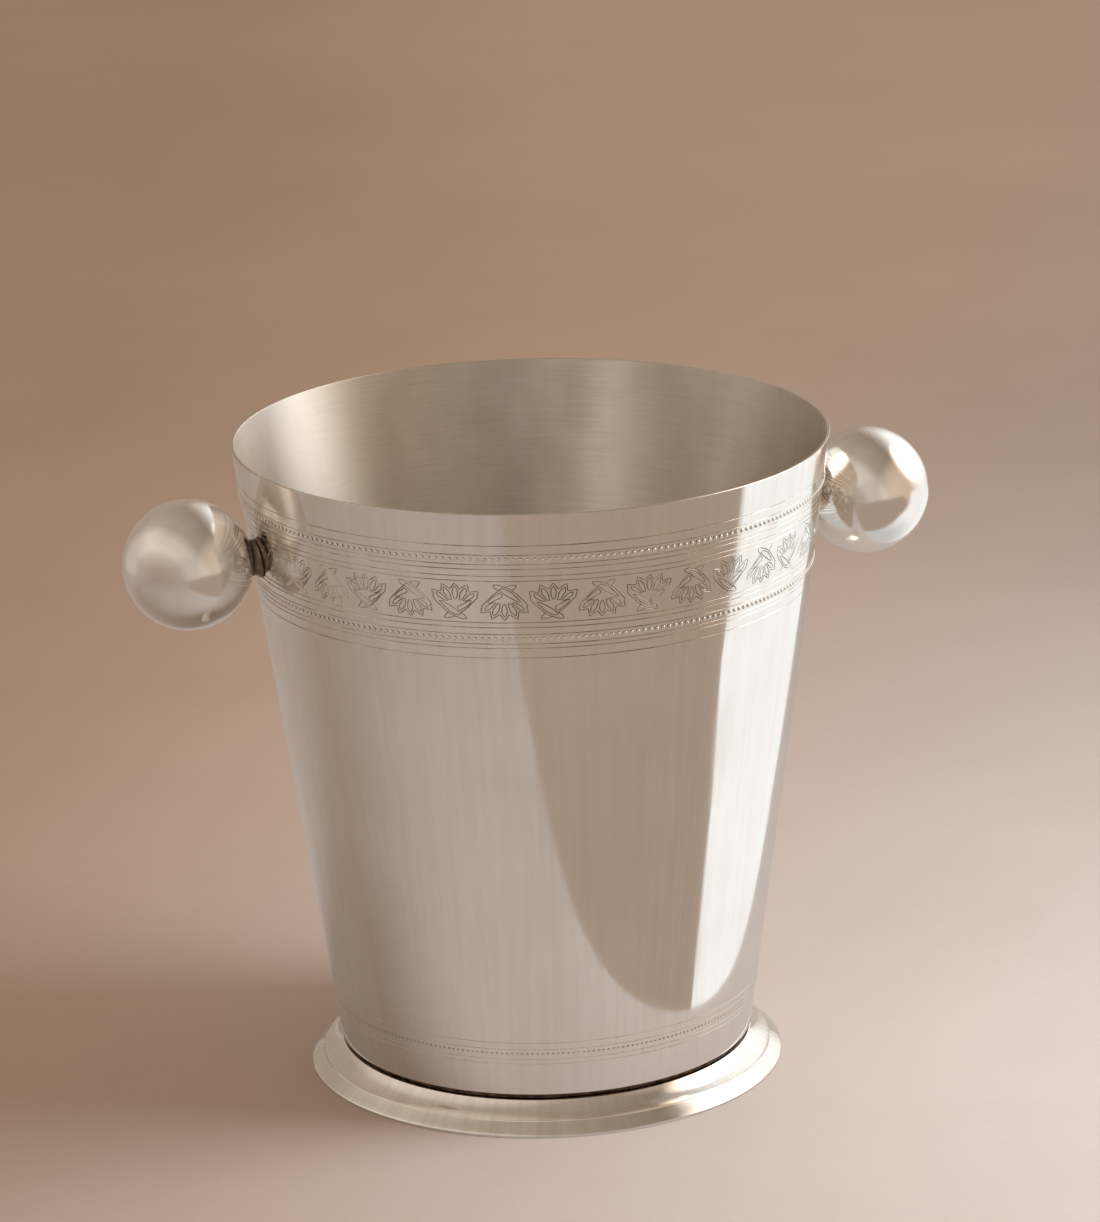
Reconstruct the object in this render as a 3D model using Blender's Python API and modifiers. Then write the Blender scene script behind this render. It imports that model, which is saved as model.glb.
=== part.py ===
"""Champagne bucket in silver plate: a tapered body on a spun foot, with two ball handles.

Metres, +Z up. The origin is under the middle of the foot, and the handles lie along X.
"""
import math

import bpy
import bmesh
from mathutils import Vector

# ---- driving dimensions, in metres ----------------------------------------------------------
CLEARANCE = 0.0003            # gap between pieces that touch

# body: a straight cone of sheet, open at the top
RIM_RADIUS = 0.1100           # outside, at the rim
RIM_HEIGHT = 0.2425           # above the table
BODY_BASE_RADIUS = 0.0775     # outside, at the body's lower edge
WALL_THICKNESS = 0.0012
FLOOR_THICKNESS = 0.0014

# foot: one spun ring with a cove, a ridge and a sloping flange
FOOT_SPREAD = 0.0115          # how far the foot's edge stands out past the body's lower edge
FOOT_HEIGHT = 0.0104
FOOT_SHEET = 0.0012
FOOT_EDGE_HEIGHT = 0.0010     # upright edge that stands on the table
FOOT_REST_WIDTH = 0.0022      # flat ring under that edge
FLANGE_WIDTH = 0.0050         # from the ridge to the outer edge
RIDGE_HEIGHT = 0.0050
RIDGE_STEP = 0.0005
SHOULDER_ROUND = 0.0006
COVE_DEPTH = 0.0006           # how far the cove sinks below a straight slope
SHELF_WIDTH = 0.0085          # flat top of the foot, inwards from its shoulder

# seat: the ring between foot and floor, set back so that a dark groove shows
SEAT_GAP = 0.0019             # from the foot's shelf to the body's lower edge
SEAT_SETBACK = 0.0018         # from the body's outside to the seat's outside
SEAT_WIDTH = 0.0050

# ball handles
BALL_RADIUS = 0.0239
BALL_SHEET = 0.0010
BALL_DROP = 0.0358            # ball centre below the rim
NECK_REACH = 0.0021           # from the wall to the ball, on the neck's axis
COLLAR_RADIUS = 0.0083

# screw that holds each ball, from inside the bucket
SCREW_RADIUS = 0.0025
SCREW_HEAD_RADIUS = 0.0050
SCREW_HEAD_HEIGHT = 0.0026
SLOT_WIDTH = 0.0012
SLOT_DEPTH = 0.0011
WASHER_RADIUS = 0.0075
WASHER_EDGE = 0.0010          # the washer's thinnest place
BOSS_RADIUS = 0.0065
BOSS_LENGTH = 0.0080
SCREW_TIP_SHORT = 0.0010      # the screw ends this far inside the boss

# facets
BODY_SIDES = 120
BALL_SIDES = 36
BALL_RINGS = 8
NECK_SIDES = 32
COVE_STEPS = 4
ROUND_STEPS = 2

SIDES = ((-1, "left"), (1, "right"))

# ---- what follows from them -----------------------------------------------------------------
BODY_BASE_HEIGHT = FOOT_HEIGHT + SEAT_GAP
TAPER = (RIM_RADIUS - BODY_BASE_RADIUS) / (RIM_HEIGHT - BODY_BASE_HEIGHT)
SLANT = math.hypot(1.0, TAPER)            # horizontal measure of one unit across the wall
BALL_HEIGHT = RIM_HEIGHT - BALL_DROP
FOOT_RADIUS = BODY_BASE_RADIUS + FOOT_SPREAD
HOLE_RADIUS = SCREW_RADIUS + CLEARANCE


def wall_outside(height, offset=0.0):
    """Radius of the body's outer face at a height, moved out square to the wall."""
    return BODY_BASE_RADIUS + (height - BODY_BASE_HEIGHT) * TAPER + offset * SLANT


def wall_inside(height, offset=0.0):
    """Radius of the body's inner face at a height, moved in square to the wall."""
    return wall_outside(height, -WALL_THICKNESS - offset)


BALL_REACH = wall_outside(BALL_HEIGHT) + NECK_REACH + BALL_RADIUS


def arc(centre, radius, start, end, steps):
    """Points of a round stretch, angles in degrees from +X towards +Z."""
    points = []
    for step in range(steps + 1):
        angle = math.radians(start + (end - start) * step / steps)
        points.append((centre[0] + radius * math.cos(angle), centre[1] + radius * math.sin(angle)))
    return points


# ---- scene helpers --------------------------------------------------------------------------
def clear_scene():
    for old in list(bpy.data.objects):
        bpy.data.objects.remove(old, do_unlink=True)


def new_collection(name):
    collection = bpy.data.collections.new(name)
    bpy.context.scene.collection.children.link(collection)
    return collection


def new_material(name, colour, roughness, metallic=1.0):
    material = bpy.data.materials.new(name)
    material.use_nodes = True
    shader = material.node_tree.nodes["Principled BSDF"]
    shader.inputs["Base Color"].default_value = (*colour, 1.0)
    shader.inputs["Roughness"].default_value = roughness
    shader.inputs["Metallic"].default_value = metallic
    material.diffuse_color = (*colour, 1.0)
    return material


def turned(name, profile, sides, collection, closed=False):
    """A solid turned about Z from (radius, height) points that run down its outer side."""
    mesh = bpy.data.meshes.new(name)
    points = [(radius, 0.0, height) for radius, height in profile]
    edges = [(i, i + 1) for i in range(len(points) - 1)]
    if closed:
        edges.append((len(points) - 1, 0))
    mesh.from_pydata(points, edges, [])
    piece = bpy.data.objects.new(name, mesh)
    collection.objects.link(piece)
    screw = piece.modifiers.new("turn", 'SCREW')
    screw.axis = 'Z'
    screw.angle = math.tau
    screw.steps = sides
    screw.render_steps = sides
    screw.use_merge_vertices = True
    screw.merge_threshold = 0.000001
    return piece


def point_along_handle(piece, side):
    """Turns a piece made about Z so that its +Z points out along the handle's axis."""
    piece.location = (0.0, 0.0, BALL_HEIGHT)
    piece.rotation_euler = (0.0, side * math.pi / 2, 0.0)


def hide_cutter(cutter):
    cutter.hide_render = True
    cutter.display_type = 'WIRE'
    return cutter


def cut(piece, cutter, operation='DIFFERENCE'):
    boolean = piece.modifiers.new(operation.lower(), 'BOOLEAN')
    boolean.operation = operation
    boolean.solver = 'EXACT'
    boolean.object = cutter


def finish(piece, material, sharp_degrees=32.0):
    """Turns the modifiers into a mesh, shades the round faces smooth and gives the finish."""
    bpy.context.view_layer.update()
    evaluated = piece.evaluated_get(bpy.context.evaluated_depsgraph_get())
    mesh = bpy.data.meshes.new_from_object(evaluated)
    piece.modifiers.clear()
    piece.data = mesh
    mesh.name = piece.name
    mesh.materials.clear()
    mesh.materials.append(material)
    mesh.shade_smooth()
    mesh.set_sharp_from_angle(angle=math.radians(sharp_degrees))
    return piece


# ---- cutters --------------------------------------------------------------------------------
def cone_cutter(name, radius_at, offset, collection):
    """A solid cone that fills the body, taller than it, with its side offset from the wall."""
    low = 0.0
    high = RIM_HEIGHT * 1.2
    profile = [(0.0, high), (radius_at(high, offset), high), (radius_at(low, offset), low), (0.0, low)]
    return hide_cutter(turned(name, profile, BODY_SIDES, collection))


def ball_cutter(name, radius, side, collection):
    profile = arc((0.0, BALL_REACH), radius, 90.0, -90.0, 2 * BALL_RINGS)
    profile[0] = (0.0, BALL_REACH + radius)
    profile[-1] = (0.0, BALL_REACH - radius)
    cutter = hide_cutter(turned(name, profile, BALL_SIDES, collection))
    point_along_handle(cutter, side)
    return cutter


def screw_hole_cutter(name, side, collection):
    low = wall_inside(BALL_HEIGHT) - WASHER_RADIUS
    high = wall_outside(BALL_HEIGHT) + NECK_REACH
    profile = [(0.0, high), (HOLE_RADIUS, high), (HOLE_RADIUS, low), (0.0, low)]
    cutter = hide_cutter(turned(name, profile, NECK_SIDES, collection))
    point_along_handle(cutter, side)
    return cutter


# ---- body and foot --------------------------------------------------------------------------
def make_body_wall(parts, cutters, silver):
    profile = [
        (wall_outside(RIM_HEIGHT), RIM_HEIGHT),
        (wall_outside(BODY_BASE_HEIGHT), BODY_BASE_HEIGHT),
        (wall_inside(BODY_BASE_HEIGHT), BODY_BASE_HEIGHT),
        (wall_inside(RIM_HEIGHT), RIM_HEIGHT),
    ]
    wall = turned("body_wall", profile, BODY_SIDES, parts, closed=True)
    for side, end in SIDES:
        cut(wall, screw_hole_cutter("wall_hole_" + end, side, cutters))
    return finish(wall, silver)


def make_body_floor(parts, satin):
    bottom = BODY_BASE_HEIGHT
    top = bottom + FLOOR_THICKNESS
    profile = [
        (0.0, top),
        (wall_inside(top, CLEARANCE), top),
        (wall_inside(bottom, CLEARANCE), bottom),
        (0.0, bottom),
    ]
    return finish(turned("body_floor", profile, BODY_SIDES, parts), satin)


def make_seat_ring(parts, solder):
    top = BODY_BASE_HEIGHT - CLEARANCE
    bottom = FOOT_HEIGHT + CLEARANCE
    outside = BODY_BASE_RADIUS - SEAT_SETBACK
    inside = outside - SEAT_WIDTH
    profile = [(outside, top), (outside, bottom), (inside, bottom), (inside, top)]
    return finish(turned("foot_seat_ring", profile, BODY_SIDES, parts, closed=True), solder)


def cove_points(start, end, depth, steps):
    """A shallow hollow between two points, sunk by depth at its middle."""
    run = Vector(end) - Vector(start)
    inward = Vector((run.y, -run.x)).normalized()
    if inward.y > 0.0:
        inward = -inward
    points = []
    for step in range(steps + 1):
        t = step / steps
        point = Vector(start) + run * t + inward * depth * 4.0 * t * (1.0 - t)
        points.append((point.x, point.y))
    return points


def make_foot_ring(parts, silver):
    shoulder = BODY_BASE_RADIUS
    ridge = FOOT_RADIUS - FLANGE_WIDTH
    shelf_inside = shoulder - SHELF_WIDTH
    rounding = (shoulder - SHOULDER_ROUND, FOOT_HEIGHT - SHOULDER_ROUND)
    top = [(shelf_inside, FOOT_HEIGHT)]
    top += arc(rounding, SHOULDER_ROUND, 90.0, 30.0, ROUND_STEPS)
    top += cove_points(top[-1], (ridge, RIDGE_HEIGHT), COVE_DEPTH, COVE_STEPS)[1:]
    top += [
        (ridge + RIDGE_STEP, RIDGE_HEIGHT - RIDGE_STEP),
        (FOOT_RADIUS - FOOT_EDGE_HEIGHT / 3, FOOT_EDGE_HEIGHT + FOOT_EDGE_HEIGHT / 3),
        (FOOT_RADIUS, FOOT_EDGE_HEIGHT),
        (FOOT_RADIUS, 0.0),
    ]
    under = [
        (FOOT_RADIUS - FOOT_REST_WIDTH, 0.0),
        (ridge - FOOT_SHEET, RIDGE_HEIGHT - RIDGE_STEP - FOOT_SHEET),
        (rounding[0] - FOOT_SHEET / 2, FOOT_HEIGHT - FOOT_SHEET),
        (shelf_inside, FOOT_HEIGHT - FOOT_SHEET),
    ]
    return finish(turned("foot_ring", top + under, BODY_SIDES, parts, closed=True), silver)


# ---- ball handles, each made along its own axis -----------------------------------------------
def make_ball_outer(end, side, parts, silver):
    """The half away from the bucket, closed at its pole."""
    seam = math.degrees(math.asin(CLEARANCE / 2 / BALL_RADIUS))
    outer = arc((0.0, BALL_REACH), BALL_RADIUS, 90.0, seam, BALL_RINGS)
    inner = arc((0.0, BALL_REACH), BALL_RADIUS - BALL_SHEET, seam, 90.0, BALL_RINGS)
    outer[0] = (0.0, BALL_REACH + BALL_RADIUS)
    inner[0] = (inner[0][0], outer[-1][1])
    inner[-1] = (0.0, BALL_REACH + BALL_RADIUS - BALL_SHEET)
    half = turned("ball_outer_half_" + end, outer + inner, BALL_SIDES, parts)
    point_along_handle(half, side)
    return finish(half, silver)


def make_ball_inner(end, side, parts, silver):
    """The half next to the bucket, with the screw's hole at its pole."""
    seam = math.degrees(math.asin(CLEARANCE / 2 / BALL_RADIUS))
    inner_radius = BALL_RADIUS - BALL_SHEET
    pole_out = math.degrees(math.acos(HOLE_RADIUS / BALL_RADIUS))
    pole_in = math.degrees(math.acos(HOLE_RADIUS / inner_radius))
    outer = arc((0.0, BALL_REACH), BALL_RADIUS, -seam, -pole_out, BALL_RINGS)
    inner = arc((0.0, BALL_REACH), inner_radius, -pole_in, -seam, BALL_RINGS)
    inner[-1] = (inner[-1][0], outer[0][1])
    half = turned("ball_inner_half_" + end, outer + inner, BALL_SIDES, parts, closed=True)
    point_along_handle(half, side)
    return finish(half, silver)


def make_collar(end, side, parts, cutters, silver):
    """The short neck, shaped at one end to the tapered wall and at the other to the ball."""
    low = wall_inside(BALL_HEIGHT) - COLLAR_RADIUS * TAPER
    high = BALL_REACH - BALL_RADIUS + COLLAR_RADIUS / 2
    profile = [(COLLAR_RADIUS, high), (COLLAR_RADIUS, low), (HOLE_RADIUS, low), (HOLE_RADIUS, high)]
    collar = turned("neck_collar_" + end, profile, NECK_SIDES, parts, closed=True)
    point_along_handle(collar, side)
    cut(collar, cone_cutter("collar_wall_" + end, wall_outside, CLEARANCE, cutters))
    cut(collar, ball_cutter("collar_ball_" + end, BALL_RADIUS + CLEARANCE, side, cutters))
    return finish(collar, silver)


def washer_face():
    """How far out from the bucket's axis the washer's flat face lies."""
    lowest = wall_inside(BALL_HEIGHT - WASHER_RADIUS, CLEARANCE)
    return math.sqrt(lowest ** 2 - WASHER_RADIUS ** 2) - WASHER_EDGE


def make_washer(end, side, parts, cutters, brass):
    """A wedge-shaped washer: flat under the screw's head, and shaped to the wall behind."""
    low = washer_face()
    high = wall_outside(BALL_HEIGHT + WASHER_RADIUS)
    profile = [(WASHER_RADIUS, high), (WASHER_RADIUS, low), (HOLE_RADIUS, low), (HOLE_RADIUS, high)]
    washer = turned("saddle_washer_" + end, profile, NECK_SIDES, parts, closed=True)
    point_along_handle(washer, side)
    cut(washer, cone_cutter("washer_wall_" + end, wall_inside, CLEARANCE, cutters), 'INTERSECT')
    return finish(washer, brass)


def boss_end():
    """How far out the boss's inner end lies, inside the ball."""
    return BALL_REACH - BALL_RADIUS + BALL_SHEET + BOSS_LENGTH


def make_boss(end, side, parts, cutters, brass):
    """The tapped boss inside the ball, rounded to sit against the inner half."""
    low = BALL_REACH - BALL_RADIUS
    high = boss_end()
    profile = [(BOSS_RADIUS, high), (BOSS_RADIUS, low), (HOLE_RADIUS, low), (HOLE_RADIUS, high)]
    boss = turned("ball_boss_" + end, profile, NECK_SIDES, parts, closed=True)
    point_along_handle(boss, side)
    inner_radius = BALL_RADIUS - BALL_SHEET - CLEARANCE
    cut(boss, ball_cutter("boss_ball_" + end, inner_radius, side, cutters), 'INTERSECT')
    return finish(boss, brass)


def make_screw(end, side, parts, cutters, brass):
    """A round-headed slotted screw, put in from inside the bucket."""
    seat = washer_face() - CLEARANCE
    tip = boss_end() - SCREW_TIP_SHORT
    crown = seat - SCREW_HEAD_HEIGHT
    chamfer = SCREW_RADIUS / 4
    bulge = (SCREW_HEAD_RADIUS ** 2 + SCREW_HEAD_HEIGHT ** 2) / (2 * SCREW_HEAD_HEIGHT)
    half_angle = math.degrees(math.asin(SCREW_HEAD_RADIUS / bulge))
    head = arc((0.0, crown + bulge), bulge, -90.0 + half_angle, -90.0, ROUND_STEPS)
    head[-1] = (0.0, crown)
    profile = [
        (0.0, tip),
        (SCREW_RADIUS - chamfer, tip),
        (SCREW_RADIUS, tip - chamfer),
        (SCREW_RADIUS, seat),
        (SCREW_HEAD_RADIUS, seat),
    ] + head[1:]
    screw = turned("ball_screw_" + end, profile, NECK_SIDES, parts)
    point_along_handle(screw, side)
    slot_mesh = bpy.data.meshes.new("slot_" + end)
    builder = bmesh.new()
    bmesh.ops.create_cube(builder, size=1.0)
    bmesh.ops.scale(builder, vec=(2 * SLOT_DEPTH, 3 * SCREW_HEAD_RADIUS, SLOT_WIDTH), verts=builder.verts)
    builder.to_mesh(slot_mesh)
    builder.free()
    slot = bpy.data.objects.new("slot_" + end, slot_mesh)
    slot.location = (side * crown, 0.0, BALL_HEIGHT)
    cutters.objects.link(slot)
    cut(screw, hide_cutter(slot))
    return finish(screw, brass)


def main():
    clear_scene()
    parts = new_collection("champagne_bucket")
    cutters = new_collection("cutters")

    silver = new_material("polished_silver_plate", (0.80, 0.77, 0.73), 0.12)
    satin = new_material("satin_silver_plate", (0.70, 0.67, 0.62), 0.35)
    solder = new_material("tarnished_solder", (0.05, 0.045, 0.04), 0.6)
    brass = new_material("bare_brass", (0.62, 0.48, 0.25), 0.35)

    make_body_wall(parts, cutters, silver)
    make_body_floor(parts, satin)
    make_seat_ring(parts, solder)
    make_foot_ring(parts, silver)
    for side, end in SIDES:
        make_ball_outer(end, side, parts, silver)
        make_ball_inner(end, side, parts, silver)
        make_collar(end, side, parts, cutters, silver)
        make_washer(end, side, parts, cutters, brass)
        make_boss(end, side, parts, cutters, brass)
        make_screw(end, side, parts, cutters, brass)


main()
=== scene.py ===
import math

import bmesh
import bpy
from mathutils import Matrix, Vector


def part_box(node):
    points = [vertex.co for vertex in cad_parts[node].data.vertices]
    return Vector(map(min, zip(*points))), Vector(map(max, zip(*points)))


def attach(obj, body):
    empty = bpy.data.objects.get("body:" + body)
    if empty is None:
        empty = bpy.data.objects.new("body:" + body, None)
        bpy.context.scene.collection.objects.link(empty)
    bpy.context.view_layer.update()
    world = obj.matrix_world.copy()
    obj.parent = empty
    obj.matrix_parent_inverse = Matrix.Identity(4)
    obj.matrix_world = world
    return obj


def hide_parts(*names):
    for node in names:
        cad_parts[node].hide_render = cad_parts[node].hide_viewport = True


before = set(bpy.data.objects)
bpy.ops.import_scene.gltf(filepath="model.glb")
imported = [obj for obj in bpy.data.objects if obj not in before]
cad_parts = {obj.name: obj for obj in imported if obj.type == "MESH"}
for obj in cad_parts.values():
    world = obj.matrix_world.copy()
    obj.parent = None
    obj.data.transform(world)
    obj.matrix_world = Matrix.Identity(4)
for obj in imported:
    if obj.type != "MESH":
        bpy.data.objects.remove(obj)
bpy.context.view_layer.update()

# ---- sizes, in metres -----------------------------------------------------------------------
MM = 0.001
CLEARANCE = 0.3 * MM

# The body is a straight cone of sheet.
RIM_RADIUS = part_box("body_wall")[1][0]
RIM_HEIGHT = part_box("body_wall")[1][2]
BASE_RADIUS = 77.5 * MM
BASE_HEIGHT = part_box("body_wall")[0][2]
WALL = 1.2 * MM
TAPER = (RIM_RADIUS - BASE_RADIUS) / (RIM_HEIGHT - BASE_HEIGHT)
SLANT = math.hypot(1.0, TAPER)

# Engraving: nineteen pairs of palmettes go round, and everything else is counted from them.
PAIRS = 19
COLUMNS_PER_PAIR = 16
COLUMNS = PAIRS * COLUMNS_PER_PAIR
BEADS = PAIRS * 14
BEAD_RADIUS = 0.72 * MM
BEAD_PROUD = 0.28 * MM
WORN_BEAD_RADIUS = 0.50 * MM
WORN_BEAD_PROUD = 0.07 * MM
FIRST_PAIR = math.radians(-27.577)      # where one pair starts, from the front towards +X
LINE_WIDTH = 0.36 * MM
LINE_DEPTH = 0.16 * MM
WORN_WIDTH = 0.30 * MM
WORN_DEPTH = 0.06 * MM
UPPER_LINES = (187.8, 191.5, 193.2, 196.9, 199.5, 201.4, 217.3, 219.2, 221.8, 223.6, 227.2, 230.7)
LOWER_LINES = (25.2, 27.1, 31.1, 33.8)
LINE_UNDER_FRIEZE = 201.4
FRIEZE_LOW = 201.75 * MM
FRIEZE_HIGH = 216.95 * MM

SEAM_GAP = 0.15 * MM                    # the outer half starts this far past the ball's middle
HALF_SEAM = 0.05 * MM                   # each polished half is cut this far from the middle
BALL_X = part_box("ball_outer_half_right")[0][0] - SEAM_GAP
BALL_Z = 0.5 * (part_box("ball_outer_half_right")[0][2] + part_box("ball_outer_half_right")[1][2])
BALL_RADIUS = 23.9 * MM
BALL_SHEET = 1.0 * MM
BALL_HOLE = 2.7 * MM                    # radius of the hole for the screw
COLLAR_RADIUS = 8.25 * MM
COLLAR_HOLE = 2.8 * MM
WAIST_PLACE = 106.6 * MM                # where the collar is slimmest, from the bucket's axis
WAIST_REACH = 2.2 * MM
WAIST_DEPTH = 0.2                       # as a part of the collar's radius

SIDES = ((-1, "left"), (1, "right"))


def wall_outside(height, inwards=0.0):
    """Radius of the body's outer face at a height, or a little way in, square to the wall."""
    return BASE_RADIUS + (height - BASE_HEIGHT) * TAPER - inwards * SLANT


# ---- hand work ------------------------------------------------------------------------------
def nothing_selected():
    bpy.ops.object.select_all(action="DESELECT")


def select_only(*pieces):
    nothing_selected()
    for piece in pieces:
        piece.select_set(True)
    bpy.context.view_layer.objects.active = pieces[0]


def open_mesh(piece):
    """Opens a piece in edit mode with nothing on it selected."""
    select_only(piece)
    bpy.ops.object.mode_set(mode="EDIT")
    bpy.ops.mesh.select_all(action="DESELECT")


def close_mesh():
    bpy.ops.object.mode_set(mode="OBJECT")


def pick(kind, wanted):
    """Selects the vertices, edges or faces of the open mesh that pass a test."""
    bpy.ops.mesh.select_mode(type=kind)
    bpy.ops.mesh.select_all(action="DESELECT")
    mesh = bmesh.from_edit_mesh(bpy.context.edit_object.data)
    parts = {"VERT": mesh.verts, "EDGE": mesh.edges, "FACE": mesh.faces}[kind]
    for part in parts:
        if wanted(part):
            part.select_set(True)
    mesh.select_flush_mode()
    bmesh.update_edit_mesh(bpy.context.edit_object.data)


def apply(piece, kind, **settings):
    """Adds one modifier with its settings and applies it."""
    select_only(piece)
    modifier = piece.modifiers.new(kind.lower(), kind)
    for name, value in settings.items():
        setattr(modifier, name, value)
    bpy.ops.object.modifier_apply(modifier=modifier.name)


def settle(piece):
    """Puts the object at the origin, unturned and unscaled, with its place in its mesh."""
    select_only(piece)
    bpy.ops.object.transform_apply(location=True, rotation=True, scale=True)


def smooth(piece, degrees=30.0):
    select_only(piece)
    bpy.ops.object.shade_smooth_by_angle(angle=math.radians(degrees))


def joined(name, *pieces):
    select_only(*pieces)
    if len(pieces) > 1:
        bpy.ops.object.join()
    bpy.context.object.name = name
    return bpy.context.object


def one_vertex(name, place):
    """A new mesh of a single selected vertex, left open in edit mode."""
    nothing_selected()
    bpy.ops.mesh.primitive_plane_add(size=MM, location=(0.0, 0.0, 0.0))
    piece = bpy.context.object
    piece.name = name
    bpy.ops.object.mode_set(mode="EDIT")
    bpy.ops.mesh.select_mode(type="VERT")
    bpy.ops.mesh.select_all(action="SELECT")
    bpy.ops.mesh.merge(type="CENTER")
    bpy.ops.transform.translate(value=place)
    return piece


def spun(name, outline, steps, turn=0.0, closed=True):
    """A piece spun about Z from an outline of (radius, height) points, drawn one after another."""
    across = Vector((math.sin(turn), -math.cos(turn), 0.0))
    places = [across * radius + Vector((0.0, 0.0, height)) for radius, height in outline]
    piece = one_vertex(name, places[0])
    for last, place in zip(places, places[1:]):
        bpy.ops.mesh.extrude_vertices_move(TRANSFORM_OT_translate={"value": place - last})
    if closed:
        ends = (places[0], places[-1])
        pick("VERT", lambda v: min((v.co - end).length for end in ends) < 1e-6)
        bpy.ops.mesh.edge_face_add()
    bpy.ops.mesh.select_all(action="SELECT")
    bpy.ops.mesh.spin(steps=steps, angle=math.tau, center=(0.0, 0.0, 0.0), axis=(0.0, 0.0, 1.0))
    bpy.ops.mesh.select_all(action="SELECT")
    bpy.ops.mesh.remove_doubles(threshold=0.000002)
    bpy.ops.mesh.normals_make_consistent(inside=False)
    close_mesh()
    return piece


def arc(centre, radius, start, end, steps):
    """Points of a round stretch of outline, angles in degrees from outwards towards up."""
    points = []
    for step in range(steps + 1):
        angle = math.radians(start + (end - start) * step / steps)
        points.append((centre[0] + radius * math.cos(angle), centre[1] + radius * math.sin(angle)))
    return points


def set_faces(piece, slot, wanted):
    """Gives the faces that pass a test one of the piece's materials."""
    for face in piece.data.polygons:
        if wanted(face):
            face.material_index = slot


# ---- finishes -------------------------------------------------------------------------------
def hue(hex_code):
    """A screen colour such as C8B49A as the linear colour that a shader takes."""
    parts = []
    for start in (0, 2, 4):
        value = int(hex_code[start:start + 2], 16) / 255.0
        parts.append(value / 12.92 if value <= 0.04045 else ((value + 0.055) / 1.055) ** 2.4)
    return (*parts, 1.0)


def add(tree, kind, settings=None, links=None):
    """Adds one node with its settings, and links what feeds it."""
    made = tree.nodes.new(kind)
    for name, value in (settings or {}).items():
        if isinstance(name, str) and hasattr(made, name):
            setattr(made, name, value)
        else:
            made.inputs[name].default_value = value
    for name, source in (links or {}).items():
        tree.links.new(source, made.inputs[name])
    return made


def new_finish(name):
    """A new material, its node tree and its shader."""
    material = bpy.data.materials.new(name)
    material.use_nodes = True
    tree = material.node_tree
    return material, tree, tree.nodes["Principled BSDF"]


def ramp(tree, source, low, high, from_value, to_value):
    """Spreads a pattern from one value to another between two of its levels."""
    return add(tree, "ShaderNodeMapRange", {
        "From Min": low,
        "From Max": high,
        "To Min": from_value,
        "To Max": to_value,
    }, {"Value": source}).outputs["Result"]


def round_the_axis(tree, around, along):
    """Object coordinates for streaks that follow a turned piece: finer round it, or finer along its
    outline, which is taken as height less radius so that walls, floor and foot all change."""
    place = add(tree, "ShaderNodeTexCoord").outputs["Object"]
    flat = add(tree, "ShaderNodeVectorMath", {"operation": "MULTIPLY", 1: (1.0, 1.0, 0.0)}, {0: place})
    outwards = add(tree, "ShaderNodeVectorMath", {"operation": "NORMALIZE"}, {0: flat.outputs[0]})
    turn = add(tree, "ShaderNodeVectorMath", {"operation": "SCALE", "Scale": around},
               {0: outwards.outputs[0]})
    reach = add(tree, "ShaderNodeVectorMath", {"operation": "LENGTH"}, {0: flat.outputs[0]})
    height = add(tree, "ShaderNodeSeparateXYZ", links={0: place}).outputs["Z"]
    run = add(tree, "ShaderNodeMath", {"operation": "SUBTRACT"},
              {0: height, 1: reach.outputs["Value"]}).outputs[0]
    rise = add(tree, "ShaderNodeMath", {"operation": "MULTIPLY", 1: along}, {0: run}).outputs[0]
    level = add(tree, "ShaderNodeCombineXYZ", links={"Z": rise}).outputs[0]
    both = add(tree, "ShaderNodeVectorMath", {"operation": "ADD"}, {0: turn.outputs[0], 1: level})
    return both.outputs[0]


def bright_silver(name, base, shade, rough, streak, wave):
    """Silver plate, polished with rouge and cloth: clear reflections with faint upright streaks,
    a little haze in patches, and the slight waves of hammered and planished sheet."""
    material, tree, shader = new_finish(name)
    # Cloth streaks about 3 mm apart round the wall and 70 mm long.
    streaks = add(tree, "ShaderNodeTexNoise", {"Scale": 1.0, "Detail": 4.0, "Roughness": 0.55},
                  {"Vector": round_the_axis(tree, 30.0, 16.0)}).outputs["Fac"]
    place = add(tree, "ShaderNodeTexCoord").outputs["Object"]
    # Haze in patches about 40 mm across.
    haze = add(tree, "ShaderNodeTexNoise", {"Scale": 24.0, "Detail": 3.0, "Roughness": 0.6},
               {"Vector": place}).outputs["Fac"]
    # Waves of the sheet, about 20 mm round and 100 mm up.
    sheet = add(tree, "ShaderNodeTexNoise", {"Scale": 1.0, "Detail": 2.0, "Roughness": 0.45},
                {"Vector": round_the_axis(tree, 5.5, 11.0)}).outputs["Fac"]
    mixed = add(tree, "ShaderNodeMath", {"operation": "MULTIPLY_ADD", 1: 0.5},
                {0: streaks, 2: ramp(tree, haze, 0.0, 1.0, 0.0, 0.5)}).outputs[0]
    colour = add(tree, "ShaderNodeMix", {"data_type": "RGBA", 6: hue(shade), 7: hue(base)},
                 {0: ramp(tree, mixed, 0.35, 0.6, 0.0, 1.0)})
    tree.links.new(colour.outputs[2], shader.inputs["Base Color"])
    roughness = ramp(tree, mixed, 0.38, 0.62, rough + streak, rough)
    tree.links.new(roughness, shader.inputs["Roughness"])
    relief = add(tree, "ShaderNodeBump", {"Strength": 1.0, "Distance": wave}, {"Height": sheet})
    fine = add(tree, "ShaderNodeBump", {"Strength": 0.5, "Distance": 0.02 * MM},
               {"Height": streaks, "Normal": relief.outputs[0]})
    tree.links.new(fine.outputs[0], shader.inputs["Normal"])
    shader.inputs["Metallic"].default_value = 1.0
    return material


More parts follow.
